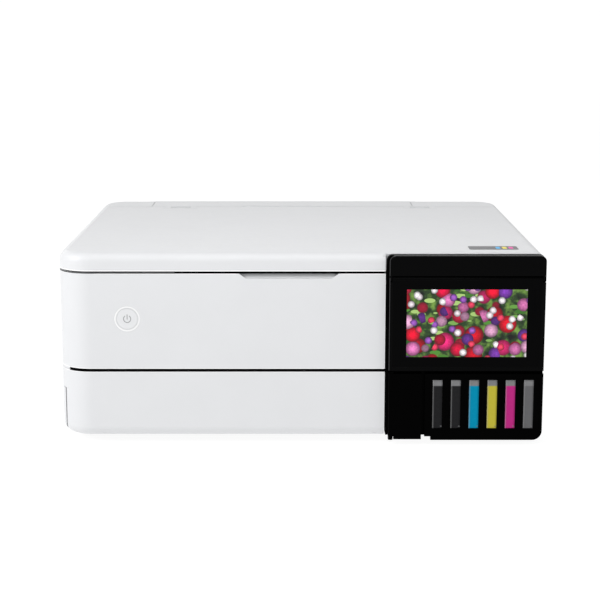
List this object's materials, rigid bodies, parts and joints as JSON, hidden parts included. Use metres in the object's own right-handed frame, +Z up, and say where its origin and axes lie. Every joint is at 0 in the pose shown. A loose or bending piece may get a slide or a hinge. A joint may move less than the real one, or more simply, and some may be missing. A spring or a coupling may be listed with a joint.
{
  "type": "inkjet printer",
  "caption": "A4 flatbed scanner, copier and ink-tank photo printer: white box with a black control tower carrying a tilting display and ink level windows.",
  "frame": {"origin": "bottom centre of the bounding box, on the plane the feet stand on", "axes": "+X to the right of someone facing the front, along the width; +Y from the front to the back; +Z up"},
  "size_m": [0.403, 0.347, 0.162],
  "materials": {
    "white_case": "fine satin white",
    "white_trim": "gloss white",
    "button_grey": "satin light grey with a ring-and-bar sign",
    "black_gloss": "polished piano black",
    "black_satin": "satin black",
    "dark_chassis": "matt dark grey",
    "grey_moulding": "matt mid grey",
    "touch_black": "polished, printed black behind",
    "screen": null,
    "tank_clear": "clear moulded tank showing dyed ink to a level",
    "rubber_black": "matt rubber",
    "sheet_steel": "plain zinc-coated sheet",
    "ground_steel": "ground shaft",
    "gear_white": "matt acetal",
    "board_green": "solder-masked board",
    "glass_clear": "clear float glass",
    "mat_white": "matt white foam sheet"
  },
  "bodies": {
    "base": {"bottom_case": "dark_chassis", "left_side_cover": "white_case", "right_side_cover": "white_case", "rear_housing": "white_case", "front_panel": "white_case", "power_ring": "white_trim", "tower_housing": "black_gloss", "panel_top_strip": "black_gloss", "ink_bezel": "black_gloss", "ink_tanks": "tank_clear", "feet": "rubber_black", "case_screws": "ground_steel", "hinge_pins": "ground_steel", "rear_feed_chute": "grey_moulding", "main_frame": "sheet_steel", "carriage_belt": "rubber_black", "carriage_motor": "sheet_steel", "platen": "dark_chassis", "feed_motor": "sheet_steel", "capping_station": "grey_moulding", "maintenance_box": "dark_chassis", "main_board": "board_green", "power_supply": "black_satin", "rear_connectors": "black_satin"},
    "power_button": {"power_button": "button_grey"},
    "front_cover": {"front_cover": "white_case"},
    "output_tray": {"output_tray": "grey_moulding"},
    "tray_extension": {"tray_extension": "grey_moulding"},
    "photo_cassette": {"photo_cassette": "dark_chassis"},
    "main_cassette": {"main_cassette": "dark_chassis"},
    "rear_feed_cover": {"rear_feed_cover": "white_case"},
    "rear_edge_guide": {"rear_edge_guide": "grey_moulding"},
    "control_panel": {"panel_frame": "black_gloss", "touch_glass": "touch_black", "display": "screen"},
    "card_cover": {"card_cover": "black_gloss"},
    "tank_cap_1": {"tank_cap_1": "black_satin"},
    "tank_cap_2": {"tank_cap_2": "black_satin"},
    "tank_cap_3": {"tank_cap_3": "black_satin"},
    "tank_cap_4": {"tank_cap_4": "black_satin"},
    "tank_cap_5": {"tank_cap_5": "black_satin"},
    "tank_cap_6": {"tank_cap_6": "black_satin"},
    "carriage": {"carriage": "black_satin", "print_head": "black_satin"},
    "drive_pulley": {"drive_pulley": "gear_white"},
    "idler_pulley": {"idler_pulley": "gear_white"},
    "feed_roller": {"feed_roller": "ground_steel", "feed_gear": "gear_white"},
    "idler_gear": {"idler_gear": "gear_white"},
    "eject_roller": {"eject_roller": "rubber_black", "eject_gear": "gear_white"},
    "motor_pinion": {"motor_pinion": "gear_white"},
    "pinch_rollers": {"pinch_rollers": "rubber_black"},
    "scanner": {"scanner_tub": "black_satin", "scanner_frame": "white_case", "scanner_glass": "glass_clear"},
    "sensor_bar": {"sensor_bar": "black_satin"},
    "lid": {"lid_cover": "white_case", "lid_liner": "white_trim", "document_mat": "mat_white"}
  },
  "joints": [
    {"name": "scanner_lift", "type": "hinge", "parent": "base", "child": "scanner", "pos_m": [0, 0.1205, 0.1593], "axis": [-1, 0, 0], "range_deg": [0, 30]},
    {"name": "lid_open", "type": "hinge", "parent": "scanner", "child": "lid", "pos_m": [0, 0.1205, 0.1593], "axis": [-1, 0, 0], "range_deg": [0, 75]},
    {"name": "sensor_scan", "type": "slide", "parent": "scanner", "child": "sensor_bar", "axis": [1, 0, 0], "range_m": [0, 0.32]},
    {"name": "panel_tilt", "type": "hinge", "parent": "base", "child": "control_panel", "pos_m": [0.13725, -0.1714, 0.141], "axis": [-1, 0, 0], "range_deg": [0, 60]},
    {"name": "front_cover_open", "type": "hinge", "parent": "base", "child": "front_cover", "pos_m": [-0.05, -0.158, 0.012], "axis": [1, 0, 0], "range_deg": [0, 90]},
    {"name": "tray_out", "type": "slide", "parent": "base", "child": "output_tray", "axis": [0, -1, 0], "range_m": [0, 0.11]},
    {"name": "extension_out", "type": "slide", "parent": "output_tray", "child": "tray_extension", "axis": [0, -1, 0], "range_m": [0, 0.0472]},
    {"name": "photo_cassette_out", "type": "slide", "parent": "base", "child": "photo_cassette", "axis": [0, -1, 0], "range_m": [0, 0.0723]},
    {"name": "main_cassette_out", "type": "slide", "parent": "base", "child": "main_cassette", "axis": [0, -1, 0], "range_m": [0, 0.0299]},
    {"name": "card_cover_open", "type": "hinge", "parent": "base", "child": "card_cover", "pos_m": [0.0752, -0.1714, 0.0335], "axis": [0, 0, -1], "range_deg": [0, 90]},
    {"name": "power_press", "type": "slide", "parent": "base", "child": "power_button", "axis": [0, 1, 0], "range_m": [0, 0.0012], "stiffness_N_per_m": 250},
    {"name": "rear_feed_cover_open", "type": "hinge", "parent": "base", "child": "rear_feed_cover", "pos_m": [-0.0182, 0.1693, 0.16075], "axis": [-1, 0, 0], "range_deg": [0, 95]},
    {"name": "rear_guide_slide", "type": "slide", "parent": "base", "child": "rear_edge_guide", "axis": [1, 0, 0], "range_m": [0, 0.06]},
    {"name": "carriage_travel", "type": "slide", "parent": "base", "child": "carriage", "axis": [-1, 0, 0], "range_m": [0, 0.235]},
    {"name": "drive_pulley_spin", "type": "hinge", "parent": "base", "child": "drive_pulley", "pos_m": [0.18, 0.055, 0.095], "axis": [0, 1, 0], "range_deg": [-1800, 1800]},
    {"name": "idler_pulley_spin", "type": "hinge", "parent": "base", "child": "idler_pulley", "pos_m": [-0.18, 0.055, 0.095], "axis": [0, 1, 0], "range_deg": [-1800, 1800]},
    {"name": "feed_spin", "type": "hinge", "parent": "base", "child": "feed_roller", "pos_m": [-0.05, 0.04, 0.066], "axis": [1, 0, 0], "continuous": true},
    {"name": "idler_spin", "type": "hinge", "parent": "base", "child": "idler_gear", "pos_m": [-0.1703, 0.006, 0.066], "axis": [1, 0, 0], "continuous": true},
    {"name": "eject_spin", "type": "hinge", "parent": "base", "child": "eject_roller", "pos_m": [-0.05, -0.024, 0.066], "axis": [1, 0, 0], "continuous": true},
    {"name": "pinion_spin", "type": "hinge", "parent": "base", "child": "motor_pinion", "pos_m": [-0.16, 0.062, 0.0529], "axis": [1, 0, 0], "continuous": true},
    {"name": "pinch_spin", "type": "hinge", "parent": "base", "child": "pinch_rollers", "pos_m": [-0.05, 0.042, 0.0768], "axis": [1, 0, 0], "continuous": true},
    {"name": "tank_cap_1_open", "type": "hinge", "parent": "base", "child": "tank_cap_1", "pos_m": [0.11405, -0.084, 0.0695], "axis": [-1, 0, 0], "range_deg": [0, 85]},
    {"name": "tank_cap_2_open", "type": "hinge", "parent": "base", "child": "tank_cap_2", "pos_m": [0.1292, -0.084, 0.0695], "axis": [-1, 0, 0], "range_deg": [0, 85]},
    {"name": "tank_cap_3_open", "type": "hinge", "parent": "base", "child": "tank_cap_3", "pos_m": [0.14435, -0.084, 0.0695], "axis": [-1, 0, 0], "range_deg": [0, 85]},
    {"name": "tank_cap_4_open", "type": "hinge", "parent": "base", "child": "tank_cap_4", "pos_m": [0.1595, -0.084, 0.0695], "axis": [-1, 0, 0], "range_deg": [0, 85]},
    {"name": "tank_cap_5_open", "type": "hinge", "parent": "base", "child": "tank_cap_5", "pos_m": [0.17465, -0.084, 0.0695], "axis": [-1, 0, 0], "range_deg": [0, 85]},
    {"name": "tank_cap_6_open", "type": "hinge", "parent": "base", "child": "tank_cap_6", "pos_m": [0.1898, -0.084, 0.0695], "axis": [-1, 0, 0], "range_deg": [0, 85]}
  ],
  "couplings": [
    {"joint": "tray_out", "follows": "front_cover_open", "m_per_rad": 0.07},
    {"joint": "extension_out", "follows": "front_cover_open", "m_per_rad": 0.03},
    {"joint": "photo_cassette_out", "follows": "front_cover_open", "m_per_rad": 0.046},
    {"joint": "main_cassette_out", "follows": "front_cover_open", "m_per_rad": 0.019},
    {"joint": "drive_pulley_spin", "follows": "carriage_travel", "rad_per_m": 131.6},
    {"joint": "idler_pulley_spin", "follows": "carriage_travel", "rad_per_m": 131.6},
    {"joint": "idler_spin", "follows": "feed_spin", "ratio": -1.4286},
    {"joint": "eject_spin", "follows": "feed_spin", "ratio": 1.25},
    {"joint": "pinion_spin", "follows": "feed_spin", "ratio": -3.5714},
    {"joint": "pinch_spin", "follows": "feed_spin", "ratio": -1.4419}
  ]
}
